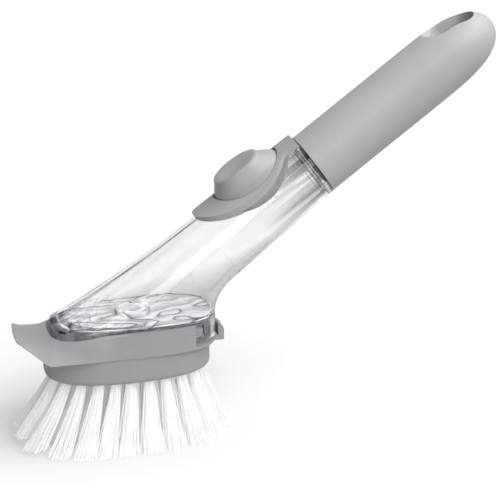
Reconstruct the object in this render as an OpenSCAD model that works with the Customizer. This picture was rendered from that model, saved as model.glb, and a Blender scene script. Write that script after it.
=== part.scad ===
// Soap-dispensing dish wand: a screw-on handle, a clear reservoir with a push button,
// and a clip-on bristle head with a scraper lip.
// +Z is up and the bristle tips stand on Z = 0. X runs from the scraper to the handle,
// and the wand is symmetric about Y = 0.
// "Along the neck" means the slanted axis that the neck, the tube and the handle share.

/* [Layout] */
// X of the centre of the reservoir's foot
foot_x = -58.8; // [-66:0.1:-54]
// Level distance from the centre of the foot to the centre of the handle's mouth
mouth_reach = 88; // [86:0.5:92]
// Height of the centre of the handle's mouth above the bristle tips
mouth_height = 126.7; // [124:0.2:130]
// Slope of the neck above level, in degrees
neck_tilt = 35.5; // [34:0.5:37]

/* [Handle] */
// Length of the handle from its mouth to the tip of its nose
handle_length = 107.8; // [100:0.2:120]
// Radius of the handle at its mouth
handle_r = 15.7; // [15:0.1:16.5]
// Upward slope of the handle's own axis against the neck's, in degrees
handle_lift = 1.05; // [0:0.05:1.5]
// Length of the rounded nose
nose_length = 47.8; // [40:0.2:55]
// Wall between the threaded cap's seat and the outside of the handle
mouth_wall = 1.8; // [1.6:0.1:2.2]
// Wall round the hollow of the handle
handle_wall = 2.4; // [1.8:0.1:3]
// Length of the hang hole
hang_length = 23; // [18:0.5:26]
// Width of the hang hole
hang_width = 14; // [10:0.5:16]
// Material left at the tip of the nose behind the hang hole
hang_end_wall = 5; // [4.5:0.1:7]
// Depth of the bevel round the hang hole
hang_bevel = 1.6; // [0.5:0.1:2]
// Solid length between the handle's hollow and the hang hole
hang_web = 4; // [3:0.5:8]

/* [Neck and cap] */
// Length of the threaded neck beyond the collar
neck_length = 11.5; // [9:0.5:14]
// Wall of the neck
neck_wall = 1.8; // [1.4:0.1:2.4]
// Width of the collar that the handle closes against
collar_w = 3.2; // [2.6:0.1:4]
// Radius of the collar
collar_r = 15.9; // [15.7:0.1:16.3]
// Wall of the threaded cap inside the handle
cap_wall = 1.3; // [1:0.1:1.6]
// Thickness of the cap's closed end
cap_floor = 2; // [1.5:0.1:3]
// Thickness of the ring seal in the cap
seal_t = 1.4; // [1:0.1:2]
// Radial play between the neck and the cap
thread_play = 0.3; // [0.2:0.05:0.4]

/* [Reservoir] */
// Length of the straight tapered tube from the mouth
tube_length = 58; // [56:0.5:61]
// Radius of the tube at the collar
tube_r = 15.6; // [15.2:0.1:15.7]
// Radius of the tube where the flare starts
tube_end_r = 17.2; // [16.6:0.1:17.8]
// Downward slope of the tube's own axis against the neck's, in degrees
tube_droop = 1.9; // [1:0.1:2.4]
// Hollow of the reservoir's front line between the tube and the foot
front_hollow = 2; // [0:0.1:3]
// Wall of the reservoir
tank_wall = 2; // [1.6:0.1:2.6]
// Length of the foot
foot_length = 78; // [74:0.5:82]
// Width of the foot
foot_width = 41; // [39:0.5:42]
// Squareness of the foot's outline, where 2 is an ellipse
foot_square = 3.2; // [2.6:0.1:3.6]
// Thickness of the clear plate that closes the foot
plate_t = 2.3; // [2:0.1:3]
// Depth of the clear skirt below the plate
skirt_h = 9; // [8.5:0.1:11]
// Wall of the skirt
skirt_wall = 2; // [1.6:0.1:2.2]
// Width of each catch window in the skirt
window_w = 4.4; // [3.8:0.1:5]
// Height of the bar left below the windows
window_bar = 2.4; // [2:0.1:2.8]
// Distance of the catch windows behind the foot's centre
window_x = 28.9; // [27:0.1:29.5]

/* [Outlet] */
// Bore of the outlet nozzle
nozzle_bore_r = 3.2; // [2.6:0.1:3.4]
// Wall of the outlet nozzle
nozzle_wall = 1.7; // [1.5:0.1:2]
// Length of the nozzle below the plate
nozzle_length = 8; // [7.2:0.1:8.3]
// Radius of the valve's flange
valve_r = 5.6; // [5.2:0.1:6.2]
// Thickness of the valve's flange
valve_t = 1.2; // [0.8:0.1:1.4]
// Width of the retaining ring over the valve
retainer_w = 1.6; // [1.2:0.1:2]
// Height of the retaining ring
retainer_h = 1.8; // [1.2:0.1:2.4]
// Section diameter of the ring seal round the nozzle
oring_d = 1.2; // [1:0.1:1.3]

/* [Button and bezel] */
// Distance of the button's centre below the mouth, along the neck
button_s = 28; // [27:0.5:29.5]
// Length of the button's base
button_l = 36; // [34:0.5:37]
// Width of the button's base
button_w = 25; // [23:0.5:25.5]
// Height of the button's rim above the neck's axis
button_top = 24; // [23.4:0.1:25]
// Length of the button's top
button_top_l = 23.5; // [20:0.5:25]
// Width of the button's top
button_top_w = 19; // [17:0.5:20]
// Distance that the button's top leans towards the brush
button_lean = 1.8; // [1:0.1:2.6]
// Depth of the thumb dish in the button
button_dish = 0.9; // [0.4:0.1:1.2]
// Wall of the button
button_wall = 1.8; // [1.4:0.1:2.2]
// Travel of the button
button_travel = 3; // [2:0.1:3.1]
// Thickness of the bezel above the tube
bezel_t = 2.6; // [2.2:0.1:3]
// Distance of the bezel's front end below the mouth, along the neck
bezel_front = 59; // [57:0.5:60]
// Distance of the rear end of the bezel's oval below the mouth
bezel_rear = 6; // [4:0.5:8]
// Width of the bezel's oval
bezel_w = 28.8; // [28:0.2:29.4]
// Width of the bezel's tail
tail_w = 14.5; // [12:0.5:17]
// Thickness of the silicone diaphragm
diaphragm_t = 0.8; // [0.6:0.1:0.9]
// Distance that the diaphragm's edge shows beside the bezel
gasket_rim = 0.6; // [0.3:0.1:1]
// Height of the diaphragm's pad above the tube
pad_h = 2.7; // [2.2:0.1:3]
// Radius of the post that presses the diaphragm
post_r = 4; // [3:0.5:5]

/* [Brush head] */
// Height of the head's parting line above the bristle tips
part_height = 46.5; // [45:0.5:48]
// Depth of the bristle block
block_h = 13.3; // [12:0.1:14.5]
// Length of the bristle block
block_l = 79.5; // [78:0.5:81]
// Width of the bristle block
block_w = 45; // [43:0.5:45.5]
// Fillet of the block's lower edge
block_fillet = 2.6; // [2:0.1:3]
// Height of the spigot that locates the block in the shell
spigot_h = 1.4; // [1:0.1:1.6]
// Height of the shell's side above the parting line
shell_h = 12.3; // [12:0.1:12.8]
// Width of the shell
shell_w = 46; // [45.8:0.2:47]
// Width across the shell's front corners
shell_front_w = 44.6; // [43.6:0.2:45.6]
// Distance of the shell's front corners from the foot's centre
shell_front = 42.5; // [41.8:0.1:43.5]
// Distance of the scraper's corners from the foot's centre
lip_reach = 56; // [53:0.1:58]
// Width of the scraper
lip_w = 22.4; // [20:0.2:25]
// Forward bow of the scraper's edge
lip_bow = 0.6; // [0:0.1:3]
// Height of the scraper's corners above the parting line
lip_rise = 9.7; // [9:0.1:11]
// Thickness of the scraper's edge
lip_t = 0.9; // [0.7:0.1:1.4]
// Gap between the foot's front and the deck
deck_gap = 1.7; // [1:0.1:2]
// Distance from the foot's centre to the end of the shell's sides
side_end = 26.5; // [25.5:0.1:26.6]
// Height of the strip that runs on round the back of the shell
strip_h = 1.2; // [1:0.1:1.5]
// Outer radius of the soap inlet boss
boss_r = 8; // [7.5:0.1:9]

/* [Release tab] */
// Width of the release tab
tab_w = 8; // [7:0.5:9]
// Distance that the tab stands out behind the foot
tab_out = 4.6; // [4.4:0.1:5.4]
// Height of the tab's thumb pad
tab_h = 8; // [7.6:0.1:8.6]
// Thickness of the tab's pad and arm
tab_t = 2; // [1.8:0.1:2.4]
// Radius of the tab's trunnions
trunnion_r = 1; // [0.9:0.05:1.1]

/* [Bristles] */
// Distance between tufts
tuft_pitch = 7.7; // [7.4:0.1:9]
// Diameter of a tuft hole
tuft_d = 4.6; // [4.4:0.1:4.8]
// Distance between rows of tufts
row_gap = 7.6; // [7.4:0.1:7.8]
// Depth of a tuft hole
tuft_depth = 8; // [7:0.5:9]
// Inset of the outer row of tufts from the block's edge
tuft_inset = 5.6; // [5.4:0.1:6.5]
// Distance that the tips at the front and back stand out beyond their roots
flare_x = 14.5; // [10:0.5:17]
// Distance that the tips at the sides stand out beyond their roots
flare_y = 9.5; // [8:0.5:12]
// Forward drift of all the tips
flare_lead = 4; // [0:0.5:6]
// Spread of a tuft at its tips against its root
tuft_spread = 2; // [1.4:0.1:2.2]
// Rise of the tips at the very front
front_rise = 5; // [0:0.5:6]
// Radius of a drawn strand
strand_r = 0.4; // [0.3:0.05:0.45]
// Strands in the inner circle of a tuft
strands_in = 3; // [2:1:3]
// Strands in the outer circle of a tuft
strands_out = 7; // [5:1:7]
// Thickness of the slice of the block that carries the strands
slice_t = 1.5; // [1.2:0.1:2]

/* [Hidden] */
$fn = 64;
// Gap between flat faces of pieces fixed to each other
fit = 0.05;
// Gap between pieces that move apart
gap = 0.3;
// Overlap of cutting solids
eps = 0.01;
big = 400;

foot_z = part_height + shell_h - gap;
plate_top = foot_z + plate_t;
skirt_z = foot_z - skirt_h;
floor_z = skirt_z - gap;
half_foot = foot_length / 2;
// Length of the longest bristles below the block
bristle_length = part_height - block_h;

neck_r = handle_r - mouth_wall - cap_wall - thread_play;
neck_bore_r = neck_r - neck_wall;
cap_r = handle_r - mouth_wall - fit;
seal_s = neck_length + 2 * fit;
cap_floor_s = seal_s + seal_t + 2 * fit;
cap_end_s = cap_floor_s + cap_floor;
nose_start = handle_length - nose_length;
hang_s = handle_length - hang_end_wall - hang_length / 2;
hollow_end = hang_s - hang_length / 2 - hang_web;

nozzle_r = nozzle_bore_r + nozzle_wall;
oring_r = nozzle_r - 0.35 + oring_d / 2;
inlet_r = oring_r + oring_d / 2 + fit;
oring_z = foot_z - nozzle_length + 2;
retainer_r = valve_r + retainer_w / 2;
// Top of the diaphragm's pad above the neck's axis
pad_top = pad_h + mix(tube_r, tube_end_r, button_s / tube_length) - button_s * sin(tube_droop);

grey = [0.66, 0.66, 0.675];
clear = [0.9, 0.93, 0.95, 0.4];
white = [0.96, 0.96, 0.96];
rubber = [0.8, 0.8, 0.82];

// Power that keeps the sign, for superellipse outlines
function signed_pow(v, e) = sign(v) * pow(abs(v), e);

// Point of a superellipse with half-axes a and b at the angle t
function oval_at(a, b, square, t) =
    [a * signed_pow(cos(t), 2 / square), b * signed_pow(sin(t), 2 / square)];

function oval(a, b, square, n = 72) = [for (i = [0:n - 1]) oval_at(a, b, square, i * 360 / n)];

function mix(a, b, t) = a + (b - a) * t;

// Quadratic curve through a and c with b as its corner
function bend(a, b, c, t) = mix(mix(a, b, t), mix(b, c, t), t);

// [X, Z] of the point s along the neck from the mouth and n above its axis
function at_neck(s, n) = [
    foot_x + mouth_reach + s * cos(neck_tilt) - n * sin(neck_tilt),
    mouth_height + s * sin(neck_tilt) + n * cos(neck_tilt)
];

// Closed solid through rings of one even number of points, with each end closed across
module skin(rings) {
    n = len(rings[0]);
    last = (len(rings) - 1) * n;
    polyhedron(
        points = [for (r = rings) for (p = r) p],
        faces = concat(
            [for (j = [0:n / 2 - 2]) [j, j + 1, n - 1 - j]],
            [for (j = [1:n / 2 - 1]) [j, n - 1 - j, n - j]],
            [for (i = [0:len(rings) - 2]) for (j = [0:n - 1])
                [i * n + j, (i + 1) * n + j, (i + 1) * n + (j + 1) % n]],
            [for (i = [0:len(rings) - 2]) for (j = [0:n - 1])
                [i * n + j, (i + 1) * n + (j + 1) % n, i * n + (j + 1) % n]],
            [for (j = [0:n / 2 - 2]) [last + j, last + n - 1 - j, last + j + 1]],
            [for (j = [1:n / 2 - 1]) [last + j, last + n - j, last + n - 1 - j]]
        )
    );
}

// Children drawn with X along the neck and Z square to it, from the mouth
module along_neck() {
    translate([foot_x + mouth_reach, 0, mouth_height]) rotate([0, -neck_tilt, 0]) children();
}

// Children drawn from the centre of the foot, on the floor
module at_foot() {
    translate([foot_x, 0, 0]) children();
}

// Round bar along X, between two places
module bar_x(from, to, r) {
    translate([from, 0, 0]) rotate([0, 90, 0]) cylinder(h = to - from, r = r);
}

// Handle

// Radius of the handle at the distance s from its mouth
function handle_radius(s) =
    let (u = max(0, (s - nose_start) / nose_length)) handle_r * sqrt(max(0, 1 - pow(u, 4)));

// Half-outline of the handle, reduced by a wall, for turning about its axis
module handle_profile(inset, from, to) {
    steps = 20;
    nose = [for (i = [0:steps]) mix(max(from, nose_start), to, sin(90 * i / steps))];
    polygon(concat(
        [[0, from], [handle_radius(from) - inset, from]],
        [for (s = nose) if (handle_radius(s) > inset) [handle_radius(s) - inset, s]],
        [[0, to]]
    ));
}

module handle_turned(inset, from, to) {
    rotate([0, 90 - handle_lift, 0]) rotate_extrude() handle_profile(inset, from, to);
}

// Two upright round bars with a block between them, from z1 to z2
module slot_bar(length, width, z1, z2) {
    reach = (length - width) / 2;
    translate([0, 0, z1]) {
        translate([-reach, 0, 0]) cylinder(h = z2 - z1, d = width);
        translate([reach, 0, 0]) cylinder(h = z2 - z1, d = width);
        translate([-reach, -width / 2, 0]) cube([2 * reach, width, z2 - z1]);
    }
}

// Bevel at one mouth of the hang hole, widening upwards
module slot_bevel(length, width, depth) {
    reach = (length - width) / 2;
    hull() {
        for (x = [-reach, reach]) {
            translate([x, 0, 0]) cylinder(h = depth, d1 = width, d2 = width + 2 * depth, $fn = 32);
        }
    }
}

module handle_shell() {
    mouth_side = handle_radius(hang_s) - hang_bevel;
    color(grey) along_neck() difference() {
        handle_turned(0, -2, handle_length);
        translate([-4, -big / 2, -big / 2]) cube([4 + gap, big, big]);
        bar_x(0, cap_end_s + fit, cap_r + fit);
        handle_turned(handle_wall, cap_end_s, hollow_end);
        rotate([0, -handle_lift, 0]) translate([hang_s, 0, 0]) {
            slot_bar(hang_length, hang_width, -handle_r - 5, handle_r + 5);
            translate([0, 0, mouth_side]) slot_bevel(hang_length, hang_width, 2 * hang_bevel);
            rotate([180, 0, 0]) translate([0, 0, mouth_side])
                slot_bevel(hang_length, hang_width, 2 * hang_bevel);
        }
    }
}

// Threaded insert that closes the neck, fixed in the handle's mouth
module neck_cap() {
    color(grey) along_neck() difference() {
        bar_x(gap + 0.5, cap_end_s, cap_r);
        bar_x(0, cap_floor_s, neck_r + thread_play);
    }
}

module neck_seal() {
    color(rubber) along_neck() difference() {
        bar_x(seal_s, seal_s + seal_t, neck_r);
        bar_x(seal_s - 1, seal_s + seal_t + 1, neck_bore_r - 0.6);
    }
}

// Reservoir

// Straight tapered part of the tube, grown outwards or inwards
module tube(grow, from = 0, to = tube_length) {
    function r(d) = mix(tube_r, tube_end_r, d / tube_length) + grow;
    rotate([0, -90 - tube_droop, 0]) translate([0, 0, from])
        cylinder(h = to - from, r1 = r(from), r2 = r(to));
}

// Top or bottom of the tube's end circle, where the flare starts
function tube_end(up) =
    let (s = -tube_length * cos(tube_droop), n = -tube_length * sin(tube_droop))
    at_neck(s - up * tube_end_r * sin(tube_droop), n + up * tube_end_r * cos(tube_droop));

// Ring t of the flare, from the tube at 0 to the foot at 1, pulled in by the given walls
function flare_ring(t, in_top, in_rear, in_side, n = 56) =
    let (
        from = tube_end(1),
        to = [foot_x - half_foot, foot_z],
        top = bend(from, mix(from, to, 0.6) + front_hollow * [sin(neck_tilt), -cos(neck_tilt)], to, t),
        rear_corner = [foot_x + half_foot, foot_z + 9.5],
        rear = bend(tube_end(-1), rear_corner, [foot_x + half_foot, foot_z], t),
        across = (top - rear) / norm(top - rear),
        t1 = top - across * in_top,
        b1 = rear + across * in_rear,
        middle = (t1 + b1) / 2,
        half = norm(t1 - b1) / 2,
        side = mix(tube_end_r, foot_width / 2, sin(90 * t)) - in_side,
        square = mix(2, foot_square, pow(t, 3))
    )
    [for (i = [0:n - 1])
        let (p = oval_at(half, side, square, i * 360 / n), q = middle + across * p[0])
        [q[0], p[1], q[1]]];

// Flared part, from just inside the tube's end to the foot
module flare(grow) {
    steps = 13;
    // The sloping front is cut by level rings, so its wall is set in further
    front = function (t) mix(1, 1.75, t);
    start = flare_ring(0, -grow, -grow, -grow);
    up = [cos(neck_tilt + tube_droop), 0, sin(neck_tilt + tube_droop)];
    skin(concat([[for (p = start) p + up]], [for (i = [0:steps]) let (t = i / steps)
        flare_ring(t, -grow * front(t), -grow, -grow)]));
}

module tank_solid(grow) {
    along_neck() tube(grow, collar_w / 2, tube_length + 2 * fit);
    flare(grow - 2 * fit);
}

// Straight bar with the button's outline, grown all round
module button_bar(grow, from, to) {
    translate([-button_s, 0, from]) linear_extrude(to - from)
        polygon(oval(button_l / 2 + grow, button_w / 2 + grow, 2.2, 48));
}

module above(z) {
    translate([-big / 2, -big / 2, z]) cube([big, big, big]);
}

module reservoir() {
    color(clear) {
        difference() {
            union() {
                tank_solid(0);
                along_neck() bar_x(-collar_w, 0, collar_r);
                along_neck() bar_x(-collar_w, neck_length, neck_r);
            }
            along_neck() tube(-tank_wall, collar_w, tube_length + 0.5);
            flare(-tank_wall - gap);
            along_neck() bar_x(-collar_w - 2, neck_length + 1, neck_bore_r);
            along_neck() button_bar(gap + 4 * fit, 0, button_top + 5);
            mirror([0, 0, 1]) above(-plate_top);
        }
    }
}

// Button and bezel

// Ring of the button at the height n: how far its sides have closed in, and its share of that
function button_ring(n, close, share, inset) =
    let (
        a = (mix(button_l, button_top_l, close) / 2 - inset) * share,
        b = (mix(button_w, button_top_w, close) / 2 - inset) * share
    )
    [for (p = oval(a, b, 2.2, 48)) [-button_s - button_lean * close + p[0], p[1], n]];

module button_form(inset, top) {
    shoulder = button_top - 6.2;
    low = [[shoulder - 1.2, 0, 1], [shoulder, 0.08, 1]];
    button_bar(-inset, 2, shoulder - 1.2);
    rim = [for (i = [0:4]) let (a = 90 * i / 4)
        [top - 1.6 * (1 - sin(a)), mix(0.86, 1.12, 1 - cos(a)), 1]];
    dish = [for (k = [0.35, 0.85, 1]) [top - button_dish * k, 1.12, 1 - 0.75 * k]];
    skin([for (r = concat(low, rim, dish)) button_ring(r[0], r[1], r[2], inset)]);
}

module pump_button() {
    clear_of_tube = diaphragm_t + 2 * fit + gap;
    color(grey) along_neck() {
        difference() {
            button_form(0, button_top);
            difference() {
                button_form(button_wall, button_top - button_wall);
                translate([-button_s - button_lean, 0, 0]) cylinder(h = big, r = post_r);
            }
            tube(clear_of_tube);
            translate([-button_s - button_lean, 0, 0])
                cylinder(h = pad_top + gap, r = post_r + 1);
        }
    }
}

module gasket_outline(grow) {
    translate([-button_s - 0.5, 0])
        polygon(oval(button_l / 2 + 5.5 + grow, bezel_w / 2 + gasket_rim + grow, 2.3));
}

// Silicone sheet under the button, with a raised pad, clamped round its edge by the bezel
module pump_diaphragm() {
    color(rubber) along_neck() {
        difference() {
            intersection() {
                tube(diaphragm_t + fit);
                linear_extrude(big) gasket_outline(0);
            }
            tube(fit);
        }
        translate([-button_s - button_lean, 0, 0]) difference() {
            cylinder(h = pad_top, r = post_r + 1.4);
            cylinder(h = pad_top - diaphragm_t, r = post_r + 0.4);
            translate([button_s + button_lean, 0, 0]) tube(fit);
        }
    }
}

module keyhole(grow = 0) {
    l = bezel_front - bezel_rear;
    blend = 7;
    offset(r = -blend, $fn = 96) offset(delta = blend) {
        translate([-bezel_rear - l / 2, 0]) polygon(oval(l / 2 + grow, bezel_w / 2 + grow, 2.25));
        translate([-bezel_rear - 12, -tail_w / 2]) square([12 + bezel_rear - 0.6, tail_w]);
    }
}

module button_bezel() {
    color(grey) along_neck() difference() {
        intersection() {
            tube(bezel_t, -2, tube_length + 8);
            linear_extrude(big) keyhole();
        }
        tube(3 * fit, -3, tube_length + 9);
        bar_x(-collar_w - gap, 1, collar_r + 3 * fit);
        intersection() {
            tube(diaphragm_t + 2 * fit, -3, tube_length + 9);
            linear_extrude(big) gasket_outline(0.3);
        }
        button_bar(gap + fit, 0, button_top + 5);
    }
}

// Foot of the reservoir

module foot_outline(inset = 0) {
    polygon(oval(half_foot - inset, foot_width / 2 - inset, foot_square, 56));
}

module reservoir_base() {
    window_z = skirt_z + window_bar;
    color(clear) {
        difference() {
            union() {
                difference() {
                    flare(-2 * fit);
                    above(plate_top);
                }
                at_foot() translate([0, 0, skirt_z]) linear_extrude(skirt_h) foot_outline();
                at_foot() translate([0, 0, plate_top]) cylinder(h = retainer_h + 0.4, r = retainer_r + 2);
            }
            at_foot() difference() {
                translate([0, 0, skirt_z - 1]) linear_extrude(skirt_h + 1) foot_outline(skirt_wall);
                cylinder(h = big, r = nozzle_r);
            }
            at_foot() {
                cylinder(h = foot_z - nozzle_length, r = nozzle_r + 1);
                cylinder(h = big, r = nozzle_bore_r);
                translate([0, 0, plate_top - valve_t]) cylinder(h = valve_t + 1, r = valve_r + fit);
                translate([0, 0, plate_top]) cylinder(h = big, r = retainer_r + fit);
                translate([0, 0, oring_z - oring_d / 2 - fit]) difference() {
                    cylinder(h = oring_d + 2 * fit, r = nozzle_r + 1);
                    cylinder(h = oring_d + 2 * fit, r = nozzle_r - 0.4);
                }
                translate([window_x - window_w / 2, -big / 2, window_z])
                    cube([window_w, big, foot_z - 0.6 - window_z]);
                translate([half_foot - 2 * skirt_wall, -tab_w / 2 - 2 * gap, window_z])
                    cube([3 * skirt_wall, tab_w + 4 * gap, 4.4]);
            }
        }
    }
}

// Slit valve: a flange with a domed lip that hangs in the nozzle
module outlet_valve() {
    r = nozzle_bore_r - fit;
    color(rubber) at_foot() translate([0, 0, plate_top]) difference() {
        union() {
            translate([0, 0, -valve_t + fit]) cylinder(h = valve_t - fit, r = valve_r);
            translate([0, 0, -valve_t - r]) cylinder(h = r + valve_t / 2, r = r);
        }
        translate([0, 0, -valve_t - r + 0.8]) cylinder(h = 2 * r + valve_t, r = r - 0.9);
        for (a = [0, 90]) {
            rotate([0, 0, a]) translate([-r + 1, -0.1, -2 * r]) cube([2 * r - 2, 0.2, 2 * r]);
        }
    }
}

module valve_retainer() {
    color(white) at_foot() translate([0, 0, plate_top + fit]) difference() {
        cylinder(h = retainer_h, r = retainer_r);
        translate([0, 0, -1]) cylinder(h = retainer_h + 2, r = valve_r - retainer_w);
    }
}

// Ring seal between the nozzle and the head's inlet
module outlet_seal() {
    color(rubber) at_foot() translate([0, 0, oring_z]) rotate_extrude()
        translate([oring_r, 0]) circle(d = oring_d, $fn = 32);
}

// Head shell

// Edge of the deck from the scraper back: X from the foot's centre, half-width, height
deck_edge = [
    [-lip_reach, lip_w / 2, lip_rise],
    [-lip_reach + 4.2, lip_w / 2 + 1.7, lip_rise - 2],
    [-shell_front - 3, shell_front_w / 2 - 7.1, lip_rise - 3.3],
    [-shell_front + 0.5, shell_front_w / 2 - 5.1, lip_rise - 4.1],
    [-shell_front + 5, shell_front_w / 2 - 3.9, lip_rise - 4.6],
    [-shell_front + 15, shell_w / 2 - 2, lip_rise - 4.4],
    [-shell_front + 25, shell_w / 2 - 1, shell_h - 1.8],
    [-2.5, shell_w / 2, shell_h]
];
// Height of the deck's middle, and how flat its crown is
deck_crown = [
    [-lip_reach, lip_rise + 0.4, 2.5],
    [-lip_reach + 4.2, lip_rise - 0.5, 2.5],
    [-shell_front - 3, lip_rise - 0.8, 2.5],
    [-shell_front + 0.5, lip_rise - 0.6, 3],
    [-shell_front + 5, lip_rise + 0.3, 6],
    [-shell_front + 15, shell_h - 0.7, 14],
    [-shell_front + 25, shell_h, 20],
    [-2.5, shell_h, 20]
];
deck_places = [
    -lip_reach, -lip_reach + 2, -lip_reach + 4.2, -shell_front - 3, -shell_front - 1,
    -shell_front + 0.5, -shell_front + 2.5, -shell_front + 5, -shell_front + 10,
    -shell_front + 15, -shell_front + 20, -shell_front + 25, -shell_front + 32, -2.5
];

function column(table, i) = [for (row = table) [row[0], row[i]]];

// Section of the shell at the distance x from the foot's centre
function deck_ring(x) =
    let (
        edge_y = lookup(x, column(deck_edge, 1)),
        edge_z = lookup(x, column(deck_edge, 2)),
        crown = lookup(x, column(deck_crown, 1)),
        flat = lookup(x, column(deck_crown, 2)),
        back = min(1, (x + lip_reach) / (lip_reach - shell_front)),
        chin_y = x < -shell_front ? mix(lip_w / 2, shell_front_w / 2, back)
            : mix(shell_front_w / 2, shell_w / 2, (x + shell_front) / (shell_front - 2.5)),
        chin_z = mix(lip_rise - lip_t, 0, back),
        bow = lookup(x, [[-lip_reach, lip_bow], [-shell_front, lip_bow / 2], [-shell_front + 15, 0]]),
        top = [for (i = [6:-1:-6]) let (y = sin(15 * i))
            [edge_y * y, mix(edge_z, crown, 1 - pow(abs(y), flat))]],
        under = [for (i = [-6:6]) [chin_y * i / 6, chin_z]]
    )
    [for (p = concat(top, under))
        [x - bow * (1 - pow(p[0] / chin_y, 2)), p[0], p[1]]];

module shell_form() {
    skin([for (x = deck_places) deck_ring(x)]);
    rear = half_foot + 2.5;
    translate([-2.5, 0, 0]) linear_extrude(shell_h)
        polygon([for (i = [-18:18]) oval_at(rear, shell_w / 2, 2.9, i * 5)]);
}

module catch(side) {
    z1 = strip_h - eps;
    bar_top = skirt_z + window_bar - part_height + gap;
    inner = foot_width / 2 - skirt_wall - 6.1;
    translate([window_x - window_w / 2 + 0.6, side * (inner + 0.9) - 0.9, z1])
        cube([window_w - 1.2, 1.8, 9 - z1]);
    translate([window_x - window_w / 2 + 0.6, side > 0 ? inner + 1 : -inner - 3.4, bar_top])
        cube([window_w - 1.2, 2.4, 3.4]);
}

// Ears that hold the release tab's trunnions
module ears(r) {
    for (side = [-1, 1]) {
        translate([pivot_x, side * (tab_w / 2 + 2), pivot_z]) rotate([90, 0, 0])
            cylinder(h = 2.4, r = r, center = true);
    }
}

// Pivot of the release tab from the foot's centre and the parting line
pivot_x = half_foot - 1.2;
pivot_z = 0.5;

module head_shell() {
    pocket_z = floor_z - part_height;
    slot_l = 6.4;
    color(grey) at_foot() translate([0, 0, part_height]) {
        difference() {
            union() {
                difference() {
                    shell_form();
                    translate([(gap - deck_gap) / 2, 0, pocket_z]) linear_extrude(big)
                        polygon(oval(half_foot + (gap + deck_gap) / 2, foot_width / 2 + gap, foot_square, 72));
                    translate([side_end, -big / 2, strip_h]) cube(big);
                }
                translate([0, 0, strip_h]) cylinder(h = 9, r = boss_r);
                catch(1);
                catch(-1);
                ears(1.9);
            }
            translate([0, 0, -1]) cylinder(h = big, r = inlet_r);
            translate([-3.5, 0, -1]) linear_extrude(1 + spigot_h + fit)
                polygon(oval(34 + fit, 15 + fit, 2.4));
            translate([half_foot - slot_l, -tab_w / 2 - gap, -3]) cube([big, tab_w + 2 * gap, 8]);
            translate([pivot_x, 0, pivot_z]) rotate([90, 0, 0])
                cylinder(h = tab_w + 20, r = trunnion_r + fit, center = true);
        }
    }
}

module release_tab() {
    arm_x = half_foot - 5;
    nose_z = skirt_z + window_bar - part_height + gap;
    base_z = -3;
    pad_x = half_foot + tab_out - tab_t - 0.9;
    color(grey) at_foot() translate([0, 0, part_height]) {
        translate([0, -tab_w / 2, 0]) {
            translate([arm_x, 0, base_z]) cube([tab_t, tab_w, 12.6]);
            translate([arm_x, 0, base_z]) cube([half_foot + tab_out - arm_x - 2, tab_w, 2.2]);
            translate([0, tab_w, 0]) rotate([90, 0, 0]) linear_extrude(tab_w) {
                polygon([
                    [arm_x + tab_t - eps, nose_z], [half_foot - 0.7, nose_z],
                    [half_foot - 0.7, nose_z + 0.6], [arm_x + tab_t - eps, nose_z + 2.6]
                ]);
                translate([pad_x, base_z]) {
                    square([tab_t + 0.9, tab_h - 3]);
                    square([1.2, tab_h]);
                    intersection() {
                        translate([-0.1, tab_h - 3]) circle(r = 3);
                        square([tab_t + 0.9, tab_h]);
                    }
                }
            }
        }
        translate([pivot_x, 0, pivot_z]) rotate([90, 0, 0]) {
            cylinder(h = tab_w + 6, r = trunnion_r, center = true);
            cylinder(h = tab_w, r = 1.7, center = true);
        }
        translate([pivot_x - 1.2, -tab_w / 2, base_z]) cube([2.4, tab_w, pivot_z - base_z]);
    }
}

// Bristle block

block_x = -3.2;
slice_a = block_l / 2 - block_fillet - 0.6;
slice_b = block_w / 2 - block_fillet - 0.6;

function block_ring(inset, z) =
    [for (p = oval(block_l / 2 - inset, block_w / 2 - inset, 2.4, 64)) [p[0], p[1], z]];

// Centres of the tufts, from the block's centre: two ovals and a middle row
function tuft_ring(a, b) =
    let (
        n = 360,
        pts = oval(a, b, 2.4, n),
        steps = [for (i = [0:n - 1]) norm(pts[(i + 1) % n] - pts[i])],
        run = [for (i = 0, sum = 0; i <= n; sum = sum + (i < n ? steps[i] : 0), i = i + 1) sum],
        count = floor(run[n] / tuft_pitch)
    )
    [for (k = [0:count - 1])
        let (goal = (k + 0.5) * run[n] / count, i = len([for (r = run) if (r <= goal) 1]) - 1)
            mix(pts[i], pts[(i + 1) % n], (goal - run[i]) / steps[i])];

outer_a = block_l / 2 - tuft_inset;
outer_b = block_w / 2 - tuft_inset;
outer_row = tuft_ring(outer_a, outer_b);
inner_row = tuft_ring(outer_a - row_gap, outer_b - row_gap);
centre_row = [for (k = [-3, -2, -1, 1, 2]) [k * (row_gap - 0.8) - block_x, 0]];
tufts = concat(outer_row, inner_row, centre_row);
centre_a = outer_a - row_gap * 1.5;
centre_b = nozzle_bore_r + gap;

module bristle_block() {
    color(grey) at_foot() translate([block_x, 0, bristle_length]) difference() {
        union() {
            skin(concat(
                [for (a = [90:-22.5:0]) block_ring(block_fillet * (1 - cos(a)), block_fillet * (1 - sin(a)))],
                [block_ring(0, block_h)]
            ));
            translate([0, 0, block_h - eps]) linear_extrude(spigot_h + eps) polygon(oval(34, 15, 2.4));
        }
        translate([0, 0, -1]) linear_extrude(1 + slice_t) polygon(oval(slice_a, slice_b, 2.4));
        for (t = tufts) {
            translate([t[0], t[1], 0]) cylinder(h = tuft_depth, d = tuft_d);
        }
        translate([-block_x, 0, -1]) cylinder(h = big, r = nozzle_bore_r);
        translate([half_foot - block_x - 6.4, -tab_w / 2 - 3.6, block_h - 5.2]) cube([big, tab_w + 7.2, big]);
    }
}

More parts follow.
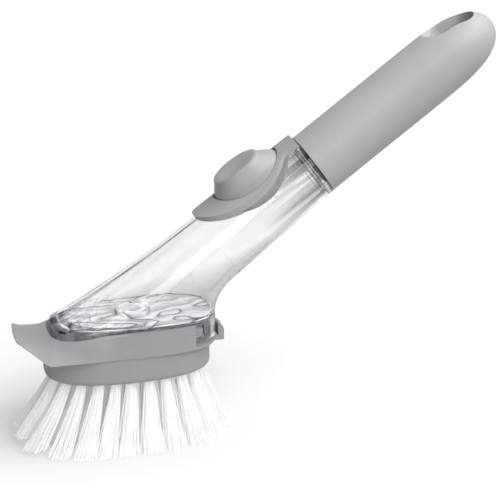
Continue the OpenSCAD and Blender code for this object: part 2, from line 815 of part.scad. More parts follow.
// Metal staples that hold the folded tufts in their holes
module tuft_anchors() {
    color([0.75, 0.75, 0.78]) at_foot() translate([block_x, 0, bristle_length]) {
        for (t = tufts) {
            translate([t[0], t[1], tuft_depth - 1]) cube([tuft_d - 2 * fit, 0.5, 1.8], center = true);
        }
    }
}

// Bristles

// Place of a strand's tip from its root and the centre of its tuft
function tip(root, tuft) =
    let (
        x = tuft[0] * (1 + flare_x / outer_a) - flare_lead,
        y = tuft[1] * (1 + flare_y / outer_b),
        forward = max(0, -tuft[0] / outer_a - 0.55) / 0.45
    )
    [x + (root[0] - tuft[0]) * tuft_spread, y + (root[1] - tuft[1]) * tuft_spread,
        front_rise * pow(forward, 2)];

// Strand roots of a tuft, in two circles
function roots(tuft) = concat(
    [for (i = [0:strands_in - 1]) let (a = i * 360 / strands_in) tuft + 0.16 * tuft_d * [cos(a), sin(a)]],
    [for (i = [0:strands_out - 1]) let (a = i * 360 / strands_out) tuft + 0.4 * tuft_d * [cos(a), sin(a)]]
);

// Three-sided strand with a level tip
module strand(root, end) {
    corners = [for (a = [0, 120, 240]) strand_r * [cos(a), sin(a)]];
    foot = bristle_length + 0.6;
    polyhedron(
        points = concat(
            [for (c = corners) [end[0] + c[0], end[1] + c[1], end[2]]],
            [for (c = corners) [root[0] + c[0], root[1] + c[1], foot]]
        ),
        faces = [
            [0, 1, 2], [3, 5, 4],
            [0, 3, 4], [0, 4, 1], [1, 4, 5], [1, 5, 2], [2, 5, 3], [2, 3, 0]
        ]
    );
}

// Rows of tufts with the slice of the block that they stand in, between two ovals
module bristles(rows, a, b, hole_a, hole_b) {
    color(white) at_foot() translate([block_x, 0, 0]) {
        difference() {
            union() {
                translate([0, 0, bristle_length]) linear_extrude(slice_t - fit) difference() {
                    polygon(oval(a - fit, b - fit, 2.4));
                    if (hole_a > 0) polygon(oval(hole_a, hole_b, 2.4));
                }
                for (t = rows) {
                    translate([t[0], t[1], bristle_length + slice_t - 2 * fit])
                        cylinder(h = tuft_depth - slice_t - 2, d = tuft_d - 2 * fit);
                }
            }
            translate([-block_x, 0, 0]) cylinder(h = big, r = nozzle_bore_r);
        }
        for (t = rows) {
            for (r = roots(t)) strand(r, tip(r, t));
        }
    }
}

module bristles_outer() {
    bristles(outer_row, slice_a, slice_b, outer_a - row_gap / 2, outer_b - row_gap / 2);
}

module bristles_inner() {
    bristles(inner_row, outer_a - row_gap / 2, outer_b - row_gap / 2, centre_a, centre_b);
}

module bristles_centre() {
    bristles(centre_row, centre_a, centre_b, 0, 0);
}

handle_shell();
neck_cap();
neck_seal();
reservoir();
reservoir_base();
outlet_valve();
valve_retainer();
outlet_seal();
pump_diaphragm();
pump_button();
button_bezel();
head_shell();
release_tab();
bristle_block();
tuft_anchors();
bristles_outer();
bristles_inner();
bristles_centre();
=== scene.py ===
"""Dish wand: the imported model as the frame, with materials, fine bristles, a neck thread and a studio."""
import math
import random
from bisect import bisect_right
import bmesh
import bpy
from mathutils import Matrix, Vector
from mathutils.bvhtree import BVHTree


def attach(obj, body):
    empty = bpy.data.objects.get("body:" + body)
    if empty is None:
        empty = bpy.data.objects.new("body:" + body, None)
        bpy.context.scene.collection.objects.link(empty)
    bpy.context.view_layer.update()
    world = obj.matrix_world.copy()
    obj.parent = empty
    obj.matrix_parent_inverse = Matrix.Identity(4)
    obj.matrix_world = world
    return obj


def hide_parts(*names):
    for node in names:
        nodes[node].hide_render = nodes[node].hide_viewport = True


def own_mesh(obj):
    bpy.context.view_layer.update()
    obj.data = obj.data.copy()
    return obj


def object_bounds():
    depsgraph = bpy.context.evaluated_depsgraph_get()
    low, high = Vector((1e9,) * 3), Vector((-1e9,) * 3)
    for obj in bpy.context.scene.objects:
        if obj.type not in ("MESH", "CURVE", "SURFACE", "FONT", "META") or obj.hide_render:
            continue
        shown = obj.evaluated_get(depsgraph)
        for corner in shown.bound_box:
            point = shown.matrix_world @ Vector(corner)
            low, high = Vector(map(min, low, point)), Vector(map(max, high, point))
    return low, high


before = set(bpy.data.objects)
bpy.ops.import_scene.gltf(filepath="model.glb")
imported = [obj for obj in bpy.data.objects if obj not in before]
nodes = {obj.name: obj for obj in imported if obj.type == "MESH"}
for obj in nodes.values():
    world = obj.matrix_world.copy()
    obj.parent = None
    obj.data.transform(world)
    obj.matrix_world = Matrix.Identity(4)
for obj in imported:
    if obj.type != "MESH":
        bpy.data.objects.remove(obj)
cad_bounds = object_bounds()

MM = 0.001
scene = bpy.context.scene

# The brush, as in part.scad, in millimetres
FOOT_X = -58.8
BLOCK_X = -3.2
BLOCK_L, BLOCK_W = 79.5, 45.0
BLOCK_Z = 33.2
TUFT_INSET, ROW_GAP, TUFT_PITCH = 5.6, 7.6, 7.7
CENTRE_PITCH = ROW_GAP - 0.8
TUFT_R = 2.2
TUFT_SQUARE = 2.4
FLARE_X, FLARE_Y, FLARE_LEAD = 14.5, 9.5, 4.0
FRONT_RISE = 5.0

# The tube's mouth and directions, and the button on it, as in part.scad, in metres
MOUTH = Vector((29.2, 0.0, 126.7)) * MM
NECK_TILT = math.radians(35.5)
AXIS = Vector((math.cos(NECK_TILT), 0.0, math.sin(NECK_TILT)))
OUT = Vector((-math.sin(NECK_TILT), 0.0, math.cos(NECK_TILT)))
BUTTON_BACK = 28.0 * MM
BUTTON_HALF = (18.0 * MM, 12.5 * MM)
BUTTON_SQUARE = 2.2
BUTTON_TRAVEL = 3.0 * MM
BUTTON_FOOT = MOUTH - AXIS * BUTTON_BACK
SHEET_HALF_THICKNESS = 0.4 * MM


# ---------------------------------------------------------------- shader helpers

class Nodes:
    """A material's or world's node tree, with short calls to add and join nodes."""

    def __init__(self, owner):
        owner.use_nodes = True
        self.tree = owner.node_tree
        self.tree.nodes.clear()

    def add(self, kind, inputs=None, **settings):
        node = self.tree.nodes.new(kind)
        for key, value in settings.items():
            setattr(node, key, value)
        for key, value in (inputs or {}).items():
            self.put(node.inputs[key], value)
        return node

    def put(self, socket, value):
        if isinstance(value, bpy.types.NodeSocket):
            self.tree.links.new(value, socket)
        else:
            socket.default_value = value

    def place(self):
        return self.add("ShaderNodeTexCoord").outputs["Object"]

    def axis(self, vector, name):
        return self.add("ShaderNodeSeparateXYZ", {"Vector": vector}).outputs[name]

    def stretched(self, vector, *scale):
        return self.add("ShaderNodeMapping", {"Vector": vector, "Scale": scale}).outputs["Vector"]

    def math(self, operation, a, b=0.0):
        return self.add("ShaderNodeMath", {0: a, 1: b}, operation=operation).outputs[0]

    def vector(self, operation, a, b, result):
        return self.add("ShaderNodeVectorMath", {0: a, 1: b}, operation=operation).outputs[result]

    def remap(self, value, start, end, low=0.0, high=1.0):
        """Goes from low, where value is at start, to high at end, and stays there."""
        return self.add("ShaderNodeMapRange", {
            "Value": value, "From Min": start, "From Max": end, "To Min": low, "To Max": high,
        }).outputs["Result"]

    def noise(self, vector, scale, detail=2.0, rough=0.5):
        return self.add("ShaderNodeTexNoise", {
            "Vector": vector, "Scale": scale, "Detail": detail, "Roughness": rough}).outputs["Fac"]

    def contours(self, field, count):
        """Contour lines of a smooth field: 0 on a line and 1 midway between two."""
        return self.math("MULTIPLY", self.math("PINGPONG", self.math("MULTIPLY", field, count), 0.5), 2.0)

    def ramp(self, factor, stops):
        node = self.add("ShaderNodeValToRGB", {"Fac": factor})
        elements = node.color_ramp.elements
        while len(elements) < len(stops):
            elements.new(0.5)
        for element, (place, colour) in zip(elements, stops):
            element.position = place
            element.color = (*colour, 1.0)
        return node.outputs["Color"]

    def mix(self, factor, a, b, blend="MIX"):
        return self.add("ShaderNodeMix", {0: factor, 6: a, 7: b},
                        data_type="RGBA", blend_type=blend).outputs[2]

    def bump(self, height, strength, distance):
        return self.add("ShaderNodeBump", {
            "Height": height, "Strength": strength, "Distance": distance}).outputs["Normal"]

    def principled(self, inputs):
        return self.add("ShaderNodeBsdfPrincipled", inputs).outputs["BSDF"]

    def surface(self, shader, kind="ShaderNodeOutputMaterial"):
        self.tree.links.new(shader, self.add(kind).inputs["Surface"])


def new_material(name):
    mat = bpy.data.materials.new(name)
    return mat, Nodes(mat)


def grey(level, blue=0.0):
    """A grey with a little more blue, as cool light gives."""
    return (level, level, level + blue)


# ---------------------------------------------------------------- materials

PLASTIC_IOR = 1.5
SILICONE_IOR = 1.41


def grey_plastic(name, colour, rough=0.42, grain=0.12):
    """Moulded matt plastic: faint mottling, a fine spark-eroded grain and soft scuffs."""
    mat, n = new_material(name)
    where = n.place()
    n.surface(n.principled({
        "Base Color": n.ramp(n.noise(where, 60.0, 3.0), [
            (0.3, [c * 0.965 for c in colour]), (0.7, [c * 1.03 for c in colour])]),
        "Roughness": n.remap(n.noise(where, 210.0, 4.0, 0.65), 0.3, 0.7, rough - 0.05, rough + 0.07),
        "Normal": n.bump(n.noise(where, 3200.0, 2.0, 0.6), grain, 0.00006),
        "IOR": PLASTIC_IOR,
        "Specular IOR Level": 0.35,
    }))
    return mat


def lit_through(n, shader, share):
    """Lets a share of the lamps' light through a clear shader, where Cycles would draw a full shadow."""
    path = n.add("ShaderNodeLightPath")
    lamp = n.math("MAXIMUM", path.outputs["Is Shadow Ray"], path.outputs["Is Diffuse Ray"])
    clear = n.add("ShaderNodeBsdfTransparent", {"Color": (share, share, share, 1.0)}).outputs[0]
    return n.add("ShaderNodeMixShader", {0: lamp, 1: shader, 2: clear}).outputs[0]


# Painted dark rings at the collar, for its shadow lines and bent light: the plastic's tint from 8 mm below
# the mouth to 2 mm above it
COLLAR_FROM, COLLAR_TO = -8.0, 2.0
COLLAR_PAINTED_SHADE = [
    (0.0, grey(1.0)), (0.3, grey(1.0)), (0.36, grey(0.6, 0.04)), (0.42, grey(1.0)),
    (0.5, grey(1.0)), (0.53, grey(0.06, 0.03)), (0.57, grey(0.5, 0.04)), (0.61, grey(1.0)),
    (0.75, grey(1.0)), (0.78, grey(0.05, 0.02)), (0.84, grey(0.3, 0.02)), (0.92, grey(1.0))]


def clear_plastic(name, colour, rough, flow, waves):
    """Injection-moulded clear styrene: flow lines ripple its surface along the tube and are painted as dark
    refraction streaks near its mouth, with painted dark rings by its neck for shadow lines and bent light.
    """
    mat, n = new_material(name)
    where = n.place()
    # Turned so that X runs up the tube, with 0 at its mouth
    turned = n.add("ShaderNodeVectorRotate", {
        "Vector": n.vector("SUBTRACT", where, MOUTH, 0), "Angle": NECK_TILT,
    }, rotation_type="Y_AXIS").outputs["Vector"]
    run = n.math("MULTIPLY", n.axis(turned, "X"), 1.0 / MM)
    lines = n.noise(n.stretched(turned, 0.04, 1.0, 1.0), 170.0)
    near_mouth = n.remap(run, -36.0, -6.0)
    # Painted dark refraction streaks near the mouth, where the neck bends the light
    streaks = n.math("MULTIPLY", n.remap(lines, 0.49, 0.58, 0.0, 0.7), near_mouth)
    # Thick corners of the foot bend the light more, so dark lobes gather low at its front
    low_front = n.math("MULTIPLY", n.remap(n.axis(where, "Z"), 0.078, 0.062),
                       n.remap(n.axis(where, "X"), -0.062, -0.085))
    lobes = n.contours(n.noise(n.stretched(where, 0.5, 1.0, 1.0), 130.0), 5.0)
    lobes = n.math("MULTIPLY", n.remap(lobes, 0.3, 0.0, 0.0, 0.8), low_front)
    # Painted shade for bent light: the streaks and lobes darken the plastic's tint
    painted_refraction_shade = n.math("MULTIPLY", n.math("SUBTRACT", 1.0, streaks), n.math("SUBTRACT", 1.0, lobes))
    painted_refraction_shade = n.add("ShaderNodeCombineColor", {0: painted_refraction_shade, 1: painted_refraction_shade, 2: painted_refraction_shade}).outputs[0]
    # Painted dark rings at the collar, for its shadow lines and bent light
    collar_shade = n.ramp(n.remap(run, COLLAR_FROM, COLLAR_TO), COLLAR_PAINTED_SHADE)
    warp = n.math("ADD", n.noise(where, waves, 2.0, 0.45), n.math("MULTIPLY", lines, 0.35))
    shader = n.principled({
        "Base Color": n.mix(1.0, n.mix(1.0, collar_shade, painted_refraction_shade, "MULTIPLY"), (*colour, 1.0), "MULTIPLY"),
        "Normal": n.bump(warp, flow, 0.0012),
        "Roughness": rough,
        "IOR": PLASTIC_IOR,
        "Transmission Weight": 1.0,
    })
    n.surface(lit_through(n, shader, 0.93))
    return mat


def swirled_plastic(name, low, high):
    """The clear foot plate: flow swirls in its thick floor turn the light, so it reads pale.

    Below low the skirt stays clear, and above high the swirls are full.
    """
    mat, n = new_material(name)
    where = n.place()
    # Thin dark lines round bright lobes
    bands = n.contours(n.noise(n.stretched(where, 0.6, 1.0, 1.0), 40.0, 2.5), 6.0)
    pale = n.principled({
        "Base Color": n.ramp(bands, [
            (0.0, grey(0.05, 0.03)), (0.06, grey(0.3, 0.05)), (0.16, grey(0.95, 0.05)),
            (0.6, grey(1.0)), (0.85, grey(0.7, 0.06)), (1.0, grey(0.5, 0.06))]),
        "Normal": n.bump(bands, 0.8, 0.004),
        "Roughness": 0.06,
        "IOR": PLASTIC_IOR,
        "Transmission Weight": 0.2,
    })
    streaks = n.noise(n.stretched(where, 1.0, 1.0, 0.15), 150.0, 2.0, 0.6)
    clear = n.principled({
        "Base Color": n.ramp(streaks, [
            (0.4, grey(0.97, 0.02)), (0.5, grey(0.5, 0.06)), (0.6, grey(0.9, 0.04))]),
        "Normal": n.bump(n.noise(where, 60.0, 2.0, 0.45), 0.25, 0.0012),
        "Roughness": 0.02,
        "IOR": PLASTIC_IOR,
        "Transmission Weight": 1.0,
    })
    plate = n.remap(n.axis(where, "Z"), low, high)
    mixed = n.add("ShaderNodeMixShader", {0: plate, 1: clear, 2: pale}).outputs[0]
    n.surface(lit_through(n, mixed, 0.85))
    return mat


def silicone(name, colour, clear=0.35):
    """Moulded silicone, part see-through, with light that scatters a little under its skin."""
    mat, n = new_material(name)
    where = n.place()
    n.surface(n.principled({
        "Base Color": n.ramp(n.noise(where, 90.0), [(0.3, [c * 0.95 for c in colour]), (0.7, colour)]),
        "Normal": n.bump(n.noise(where, 900.0), 0.1, 0.0001),
        "Roughness": 0.5,
        "IOR": SILICONE_IOR,
        "Transmission Weight": clear,
        "Subsurface Weight": 0.2,
        "Subsurface Scale": 0.002,
    }))
    return mat


def nylon(name):
    """Drawn nylon filament: white, with painted shade that darkens it towards the roots, so it is brighter
    towards the tips.
    """
    mat, n = new_material(name)
    where = n.place()
    along = n.math("DIVIDE", n.axis(where, "Z"), BLOCK_Z * MM)
    strands = n.noise(n.stretched(where, 1.0, 1.0, 0.04), 900.0)
    # Painted shade: darker towards the roots under the block, mixed with random tone along the strands
    root_shade_and_tone = n.math("ADD", n.math("MULTIPLY", along, 0.5), n.math("MULTIPLY", strands, 0.5))
    n.surface(n.principled({
        "Base Color": n.ramp(root_shade_and_tone, [(0.1, grey(1.0)), (0.55, grey(0.98)), (0.95, grey(0.9, 0.01))]),
        "Roughness": 0.38,
    }))
    return mat


def steel(name):
    """Bright staple wire."""
    mat, n = new_material(name)
    n.surface(n.principled({
        "Base Color": n.ramp(n.noise(n.place(), 300.0), [(0.3, grey(0.5, 0.02)), (0.7, grey(0.66, 0.02))]),
        "Metallic": 1.0,
        "Roughness": 0.32,
    }))
    return mat


mat_handle = grey_plastic("handle_grey", (0.385, 0.385, 0.4))
mat_head = grey_plastic("head_grey", (0.262, 0.262, 0.275), 0.46)
mat_button = grey_plastic("button_grey", (0.33, 0.33, 0.343), 0.4)
mat_clear = clear_plastic("clear_body", (0.985, 0.985, 0.995), 0.0, 0.12, 24.0)
mat_base = swirled_plastic("clear_base", 0.06, 0.0607)
mat_white = grey_plastic("white_ring", (0.8, 0.8, 0.81), 0.3, 0.05)
mat_rubber = silicone("silicone_sheet", (0.6, 0.61, 0.63))
mat_sheet = silicone("diaphragm_grey", (0.24, 0.24, 0.25), 0.0)
mat_nylon = nylon("nylon_filament")
mat_steel = steel("staple_steel")

PAINT = {
    "handle_shell": mat_handle, "neck_cap": mat_handle, "neck_seal": mat_rubber,
    "reservoir": mat_clear, "reservoir_base": mat_base, "outlet_valve": mat_rubber,
    "valve_retainer": mat_white, "outlet_seal": mat_rubber, "pump_diaphragm": mat_sheet,
    "pump_button": mat_button, "button_bezel": mat_button, "head_shell": mat_head,
    "release_tab": mat_head, "bristle_block": mat_head, "tuft_anchors": mat_steel,
    "bristles_outer": mat_nylon, "bristles_inner": mat_nylon, "bristles_centre": mat_nylon,
}


def paint(obj, mat):
    obj.data.materials.clear()
    obj.data.materials.append(mat)


for name, mat in PAINT.items():
    paint(nodes[name], mat)


# ---------------------------------------------------------------- mesh helpers

def oval(a, b, square, count):
    """Points (x, y) of a superellipse with half-axes a and b."""
    points = []
    for k in range(count):
        turn = 2 * math.pi * k / count
        c, s = math.cos(turn), math.sin(turn)
        points.append((a * math.copysign(abs(c) ** (2 / square), c),
                       b * math.copysign(abs(s) ** (2 / square), s)))
    return points


def loft(bm, sections, round_again=False):
    """Adds a closed skin through sections of as many points, capped at its ends or joined round."""
    rows = [[bm.verts.new(point) for point in section] for section in sections]
    for row, after in zip(rows, rows[1:] + rows[:1] if round_again else rows[1:]):
        for k in range(len(row)):
            turn = (k + 1) % len(row)
            bm.faces.new((row[k], row[turn], after[turn], after[k]))
    if not round_again:
        bm.faces.new(rows[0][::-1])
        bm.faces.new(rows[-1])


def mesh_object(name, bm):
    mesh = bpy.data.meshes.new(name)
    bm.to_mesh(mesh)
    bm.free()
    obj = bpy.data.objects.new(name, mesh)
    scene.collection.objects.link(obj)
    return obj


def lofted_object(name, sections, round_again=False):
    bm = bmesh.new()
    loft(bm, sections, round_again)
    bmesh.ops.recalc_face_normals(bm, faces=bm.faces)
    return mesh_object(name, bm)


# ---------------------------------------------------------------- bristles

RING_STEPS = 360
OUTER_A = BLOCK_L / 2 - TUFT_INSET
OUTER_B = BLOCK_W / 2 - TUFT_INSET

FILAMENTS = 96
FILAMENT_R = (0.17, 0.22)
FILAMENT_STEPS = 6
GOLDEN_ANGLE = 2.39996
TIP_SPREAD = 2.9
TIP_SCATTER = 0.32
HOLE_PLAY = 0.25
ROOT_DEPTH = 2.5
# Filaments leave their hole straight and then bend outwards
BEND = 1.25
# No tip stands proud of the CAD strands
FRONT_TIPS = cad_bounds[0][0] / MM + 0.4 - FOOT_X - BLOCK_X
SIDE_TIPS = cad_bounds[1][1] / MM - 0.4


def tuft_ring(a, b):
    """Centres of the tufts that stand evenly along an oval."""
    points = [Vector(p) for p in oval(a, b, TUFT_SQUARE, RING_STEPS)]
    run = [0.0]
    for i in range(RING_STEPS):
        run.append(run[-1] + (points[(i + 1) % RING_STEPS] - points[i]).length)
    count = int(run[-1] // TUFT_PITCH)
    goals = [(k + 0.5) * run[-1] / count for k in range(count)]
    return [points[(bisect_right(run, goal) - 1) % RING_STEPS] for goal in goals]


def tip_of(root, tuft):
    """Where a filament ends, by the rule that the CAD strands follow."""
    forward = max(0.0, -tuft.x / OUTER_A - 0.55) / 0.45
    centre = Vector((tuft.x * (1 + FLARE_X / OUTER_A) - FLARE_LEAD, tuft.y * (1 + FLARE_Y / OUTER_B)))
    out = centre + (root - tuft) * TIP_SPREAD
    return Vector((out.x, out.y, FRONT_RISE * forward ** 2))


def add_filament(bm, points, radius):
    """Square-section filament through points in millimetres, a little thinner at the last one."""
    sections = []
    for i, p in enumerate(points):
        r = radius * (1.0 if i < len(points) - 1 else 0.8)
        sections.append([((p.x + r * math.cos(a)) * MM, (p.y + r * math.sin(a)) * MM, p.z * MM)
                         for a in (0.0, math.pi / 2, math.pi, 3 * math.pi / 2)])
    loft(bm, sections)


def make_bristles(name, tufts, rng):
    """Tufts of fine filaments that fan out from their holes to the floor."""
    bm = bmesh.new()
    origin = Vector((FOOT_X + BLOCK_X, 0.0, 0.0))
    for tuft in tufts:
        lean = Vector((rng.gauss(0, 0.5), rng.gauss(0, 0.5)))
        for k in range(FILAMENTS):
            share = math.sqrt((k + 0.5) / FILAMENTS)
            turn = k * GOLDEN_ANGLE + rng.uniform(-0.25, 0.25)
            root = tuft + Vector((math.cos(turn), math.sin(turn))) * share * (TUFT_R - HOLE_PLAY)
            tip = tip_of(root, tuft)
            tip.x += lean.x + rng.gauss(0, TIP_SCATTER)
            tip.y += lean.y + rng.gauss(0, TIP_SCATTER)
            inset = rng.uniform(0.0, 1.6)
            tip.x = max(tip.x, FRONT_TIPS + inset)
            tip.y = math.copysign(min(abs(tip.y), SIDE_TIPS - inset), tip.y)
            tip.z = max(0.02, tip.z + abs(rng.gauss(0, 0.35)))
            start = Vector((root.x, root.y, BLOCK_Z + ROOT_DEPTH))
            sway = Vector((rng.gauss(0, 0.35), rng.gauss(0, 0.35), 0.0))
            points = []
            for i in range(FILAMENT_STEPS + 1):
                t = i / FILAMENT_STEPS
                out = t ** BEND
                p = Vector((
                    start.x + (tip.x - start.x) * out,
                    start.y + (tip.y - start.y) * out,
                    start.z + (tip.z - start.z) * t))
                points.append(origin + p + sway * math.sin(math.pi * t))
            add_filament(bm, points[::-1], rng.uniform(*FILAMENT_R))
    obj = mesh_object(name, bm)
    paint(obj, mat_nylon)
    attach(obj, "head")
    # Scattered light goes on through real filaments, so they don't hold it back
    obj.visible_diffuse = False
    return obj


ROWS = {
    "bristles_outer": tuft_ring(OUTER_A, OUTER_B),
    "bristles_inner": tuft_ring(OUTER_A - ROW_GAP, OUTER_B - ROW_GAP),
    "bristles_centre": [Vector((k * CENTRE_PITCH - BLOCK_X, 0.0)) for k in (-3, -2, -1, 1, 2)],
}
rng = random.Random(7)
for node_name, tufts in ROWS.items():
    piece = make_bristles(node_name.replace("bristles", "filaments"), tufts, rng)
    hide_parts(node_name)


# ---------------------------------------------------------------- diaphragm

# The diaphragm is cut just outside the button: its middle goes in with the button, its rim stays
OUTLINE_STEPS = 96
CUT_GROW = 0.12 * MM
CUT_HIGH = 40.0 * MM
FOLD_GROWS = (0.15 * MM, 0.24 * MM)
MERGE = 2e-6


def button_outline(grow):
    """Points round the button's oval, grown outward, level with the tube's axis."""
    half_x, half_y = (half + grow for half in BUTTON_HALF)
    return [BUTTON_FOOT + AXIS * x + Vector((0.0, y, 0.0))
            for x, y in oval(half_x, half_y, BUTTON_SQUARE, OUTLINE_STEPS)]


def merged_diaphragm():
    bm = bmesh.new()
    bm.from_mesh(nodes["pump_diaphragm"].data)
    bmesh.ops.remove_doubles(bm, verts=bm.verts, dist=MERGE)
    return bm


def cut_diaphragm(name, operation):
    """The diaphragm inside or outside the button's outline, as a closed mesh."""
    outline = button_outline(CUT_GROW)
    cutter = lofted_object("cutter", [[p + OUT * level for p in outline] for level in (0.0, CUT_HIGH)])
    obj = mesh_object(name, merged_diaphragm())
    cut = obj.modifiers.new("cut", "BOOLEAN")
    cut.object, cut.operation, cut.solver = cutter, operation, "EXACT"
    final = bpy.data.meshes.new_from_object(obj.evaluated_get(bpy.context.evaluated_depsgraph_get()))
    obj.modifiers.clear()
    obj.data = final
    bpy.data.objects.remove(cutter)
    return obj


def make_fold():
    """The fold that the button's travel draws out: a thin wall down from the sheet's hole."""
    bm = merged_diaphragm()
    surface = BVHTree.FromBMesh(bm)
    bm.free()
    sections = []
    for inner, outer in zip(*(button_outline(grow) for grow in FOLD_GROWS)):
        hit = surface.ray_cast(outer + OUT * CUT_HIGH, -OUT)[0]
        top = (hit - outer).dot(OUT) - SHEET_HALF_THICKNESS
        foot = top - BUTTON_TRAVEL
        sections.append((inner + OUT * top, inner + OUT * foot, outer + OUT * foot, outer + OUT * top))
    return lofted_object("diaphragm_fold", sections, round_again=True)


sheet = cut_diaphragm("diaphragm_sheet", "DIFFERENCE")
pad = cut_diaphragm("diaphragm_pad", "INTERSECT")
fold = make_fold()
for obj in (sheet, pad, fold):
    paint(obj, mat_sheet)
    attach(obj, "wand")
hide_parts("pump_diaphragm")
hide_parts("pump_diaphragm")
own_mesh(pad)


# ---------------------------------------------------------------- thread

THREAD_PITCH = 4.0 * MM
THREAD_START = 1.6 * MM
THREAD_TURNS = 2.1
THREAD_STEPS = 60
# An eighth of a turn at each end
THREAD_FADE = 8
THREAD_PROFILE = ((-0.7, -0.03), (-0.25, 0.22), (0.25, 0.22), (0.7, -0.03))


def make_thread():
    """The right-handed ridge round the reservoir's neck, which fades at both ends."""
    off_mouth = [vert.co - MOUTH for vert in nodes["reservoir"].data.vertices]
    neck_r = max((p - AXIS * p.dot(AXIS)).length for p in off_mouth if p.dot(AXIS) > THREAD_START)
    last = round(THREAD_TURNS * THREAD_STEPS)
    sections = []
    for k in range(last + 1):
        turn = 2 * math.pi * k / THREAD_STEPS
        along = THREAD_START + THREAD_PITCH * k / THREAD_STEPS
        full = min(1.0, THREAD_FADE * k / THREAD_STEPS, THREAD_FADE * (last - k) / THREAD_STEPS)
        outward = OUT * math.cos(turn) + Vector((0.0, -math.sin(turn), 0.0))
        sections.append([MOUTH + AXIS * (along + side * MM)
                         + outward * (neck_r + (height * full if height > 0 else height) * MM)
                         for side, height in THREAD_PROFILE])
    return lofted_object("neck_thread", sections)


thread = make_thread()
paint(thread, mat_clear)
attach(thread, "wand")


# ---------------------------------------------------------------- smooth shading

def smooth_group():
    """A modifier's nodes that shade smooth across facets and keep the edges sharper than an angle."""
    group = bpy.data.node_groups.new("smooth_by_angle", "GeometryNodeTree")
    group.interface.new_socket("Geometry", in_out="INPUT", socket_type="NodeSocketGeometry")
    angle = group.interface.new_socket("Angle", in_out="INPUT", socket_type="NodeSocketFloat")
    group.interface.new_socket("Geometry", in_out="OUTPUT", socket_type="NodeSocketGeometry")
    add, link = group.nodes.new, group.links.new
    start, end = add("NodeGroupInput"), add("NodeGroupOutput")
    merge = add("GeometryNodeMergeByDistance")
    merge.inputs["Distance"].default_value = MERGE
    link(start.outputs["Geometry"], merge.inputs["Geometry"])
    drop = add("GeometryNodeRemoveAttribute")
    drop.inputs["Name"].default_value = "custom_normal"
    link(merge.outputs["Geometry"], drop.inputs["Geometry"])
    faces = add("GeometryNodeSetShadeSmooth")
    faces.domain = "FACE"
    faces.inputs["Shade Smooth"].default_value = True
    link(drop.outputs["Geometry"], faces.inputs["Geometry"])
    bend = add("GeometryNodeInputMeshEdgeAngle")
    soft = add("FunctionNodeCompare")
    soft.data_type = "FLOAT"
    soft.operation = "LESS_THAN"
    link(bend.outputs["Unsigned Angle"], soft.inputs["A"])
    link(start.outputs["Angle"], soft.inputs["B"])
    edges = add("GeometryNodeSetShadeSmooth")
    edges.domain = "EDGE"
    link(faces.outputs["Geometry"], edges.inputs["Geometry"])
    link(soft.outputs["Result"], edges.inputs["Shade Smooth"])
    link(edges.outputs["Geometry"], end.inputs["Geometry"])
    return group, angle.identifier


# The angle in degrees over which an edge stays sharp
SHARP = {"head_shell": 28.0, "reservoir": 42.0, "reservoir_base": 25.0, "pump_button": 40.0}
SHARP_ELSEWHERE = 30.0
SMOOTH, ANGLE = smooth_group()
for obj in [*nodes.values(), sheet, pad, fold, thread]:
    modifier = obj.modifiers.new("smooth", "NODES")
    modifier.node_group = SMOOTH
    modifier[ANGLE] = math.radians(SHARP.get(obj.name, SHARP_ELSEWHERE))


# ---------------------------------------------------------------- studio

WHITE = (1.0, 1.0, 1.0, 1.0)
FLOOR_SIZE = 8.0
BRUSH = (-0.06, 0.0, 0.0)


def glossy_or_through(n, path):
    return n.math("MAXIMUM", path.outputs["Is Glossy Ray"], path.outputs["Is Transmission Ray"])


def floor_material():
    """A floor that shades the brush's contact and glows to white by its distance from the brush."""
    mat, n = new_material("studio_floor")
    away = n.vector("DISTANCE", n.place(), BRUSH, "Value")
    tone = n.ramp(n.remap(away, 0.06, 0.2), [(0.0, grey(0.66)), (1.0, grey(0.28))])
    diffuse = n.add("ShaderNodeBsdfDiffuse", {"Color": tone}).outputs[0]
    path = n.add("ShaderNodeLightPath")
    seen = n.ramp(n.remap(away, 0.0, 0.4), [(0.15, grey(0.22)), (0.5, grey(0.76)), (1.0, grey(1.0))])
    glow = n.math("ADD", n.math("MULTIPLY", path.outputs["Is Camera Ray"], seen),
                  n.math("MULTIPLY", glossy_or_through(n, path), n.remap(away, 0.14, 0.22, 0.0, 0.66)))
    glow = n.add("ShaderNodeEmission", {"Color": WHITE, "Strength": glow}).outputs[0]
    n.surface(n.add("ShaderNodeAddShader", {0: diffuse, 1: glow}).outputs[0])
    return mat


def make_floor():
    bpy.ops.mesh.primitive_plane_add(size=FLOOR_SIZE, location=(0.0, 0.0, 0.0))
    floor = bpy.context.object
    floor.name = "studio_floor"
    floor.data.materials.append(floor_material())


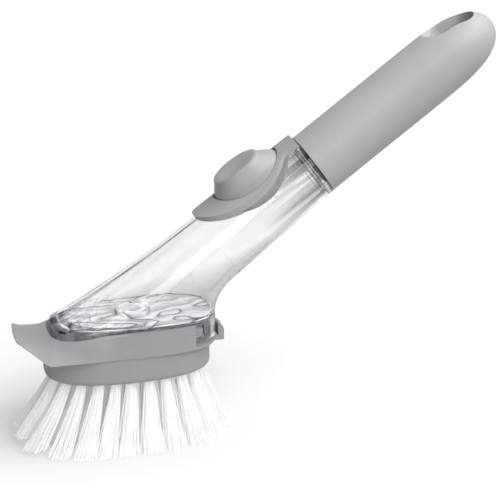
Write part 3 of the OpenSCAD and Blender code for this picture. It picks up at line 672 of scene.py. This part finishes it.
def make_world():
    """White to the camera, a dark card for the light that clear plastic bends, a room to reflections."""
    world = bpy.data.worlds.new("studio")
    scene.world = world
    n = Nodes(world)
    path = n.add("ShaderNodeLightPath")
    where = n.add("ShaderNodeTexCoord").outputs["Generated"]

    def facing(direction):
        """How far a ray points along a direction, from 0 for straight away to 1."""
        dot = n.vector("DOT_PRODUCT", where, direction, "Value")
        return n.math("ADD", n.math("MULTIPLY", dot, 0.5), 0.5)

    # The card behind and above the tube draws the edges of clear plastic
    through = n.ramp(facing((-0.58, 0.0, 0.814)), [
        (0.0, grey(0.92, 0.03)), (0.6, grey(0.92, 0.03)), (0.625, grey(0.03, 0.02)),
        (0.7, grey(0.03, 0.02)), (0.74, grey(0.92, 0.03)), (1.0, grey(0.92, 0.02))])
    # Reflections see a bright room with dark gaps at two heights
    mirrored = n.ramp(facing((0.0, 0.0, 1.0)), [
        (0.5, grey(0.9, 0.02)), (0.56, grey(1.2, 0.02)), (0.585, grey(0.15, 0.02)),
        (0.64, grey(0.15, 0.02)), (0.655, grey(1.3)), (0.8, grey(1.3)),
        (0.83, grey(0.2, 0.02)), (0.87, grey(0.2, 0.02)), (0.9, grey(1.2))])
    tone = n.mix(path.outputs["Is Glossy Ray"], WHITE, mirrored)
    tone = n.mix(path.outputs["Is Transmission Ray"], tone, through)
    extra = n.math("ADD", path.outputs["Is Camera Ray"], glossy_or_through(n, path))
    strength = n.math("ADD", 0.3, n.math("MULTIPLY", extra, 0.7))
    n.surface(n.add("ShaderNodeBackground", {
        "Color": tone, "Strength": strength}).outputs[0], "ShaderNodeOutputWorld")


def turned_to(direction):
    """The rotation that points a lamp or camera along a direction."""
    return direction.to_track_quat("-Z", "Y").to_euler()


ALL_ROUND = 180.0


def area(name, place, aim, size, power, spread=ALL_ROUND):
    """A rectangular lamp. A narrow one doesn't show in reflections or through clear plastic."""
    light = bpy.data.lights.new(name, "AREA")
    light.shape = "RECTANGLE"
    light.size, light.size_y = size
    light.energy = power
    light.spread = math.radians(spread)
    obj = bpy.data.objects.new(name, light)
    scene.collection.objects.link(obj)
    obj.location = place
    obj.rotation_euler = turned_to(Vector(aim) - Vector(place))
    obj.visible_glossy = obj.visible_transmission = spread == ALL_ROUND


make_floor()
make_world()
WAND_MIDDLE = (0.0, 0.0, 0.08)
area("key_light", (0.5, -0.75, 1.15), WAND_MIDDLE, (1.2, 1.0), 20.0)
area("fill_light", (-0.3, -1.1, 0.52), WAND_MIDDLE, (0.4, 0.9), 2.6)
area("low_light", (-0.05, -0.85, 0.03), (-0.06, 0.0, 0.005), (0.7, 0.06), 0.14, spread=25.0)
area("top_light", (0.6, 0.1, 1.1), WAND_MIDDLE, (0.8, 0.6), 5.0)


# ---------------------------------------------------------------- camera

AZIMUTH, ELEVATION = math.radians(-14.5), math.radians(20.0)
DISTANCE = 0.7143
TARGET = Vector((-0.0013, 0.0, 0.0865))
back = Vector((
    math.sin(AZIMUTH) * math.cos(ELEVATION),
    -math.cos(AZIMUTH) * math.cos(ELEVATION),
    math.sin(ELEVATION)))
camera = bpy.data.cameras.new("camera")
camera.sensor_width = 36.0
camera.lens = 108.0
camera_obj = bpy.data.objects.new("camera", camera)
scene.collection.objects.link(camera_obj)
camera_obj.location = TARGET + back * DISTANCE
camera_obj.rotation_euler = turned_to(-back)
scene.camera = camera_obj

scene.view_settings.view_transform = "Standard"
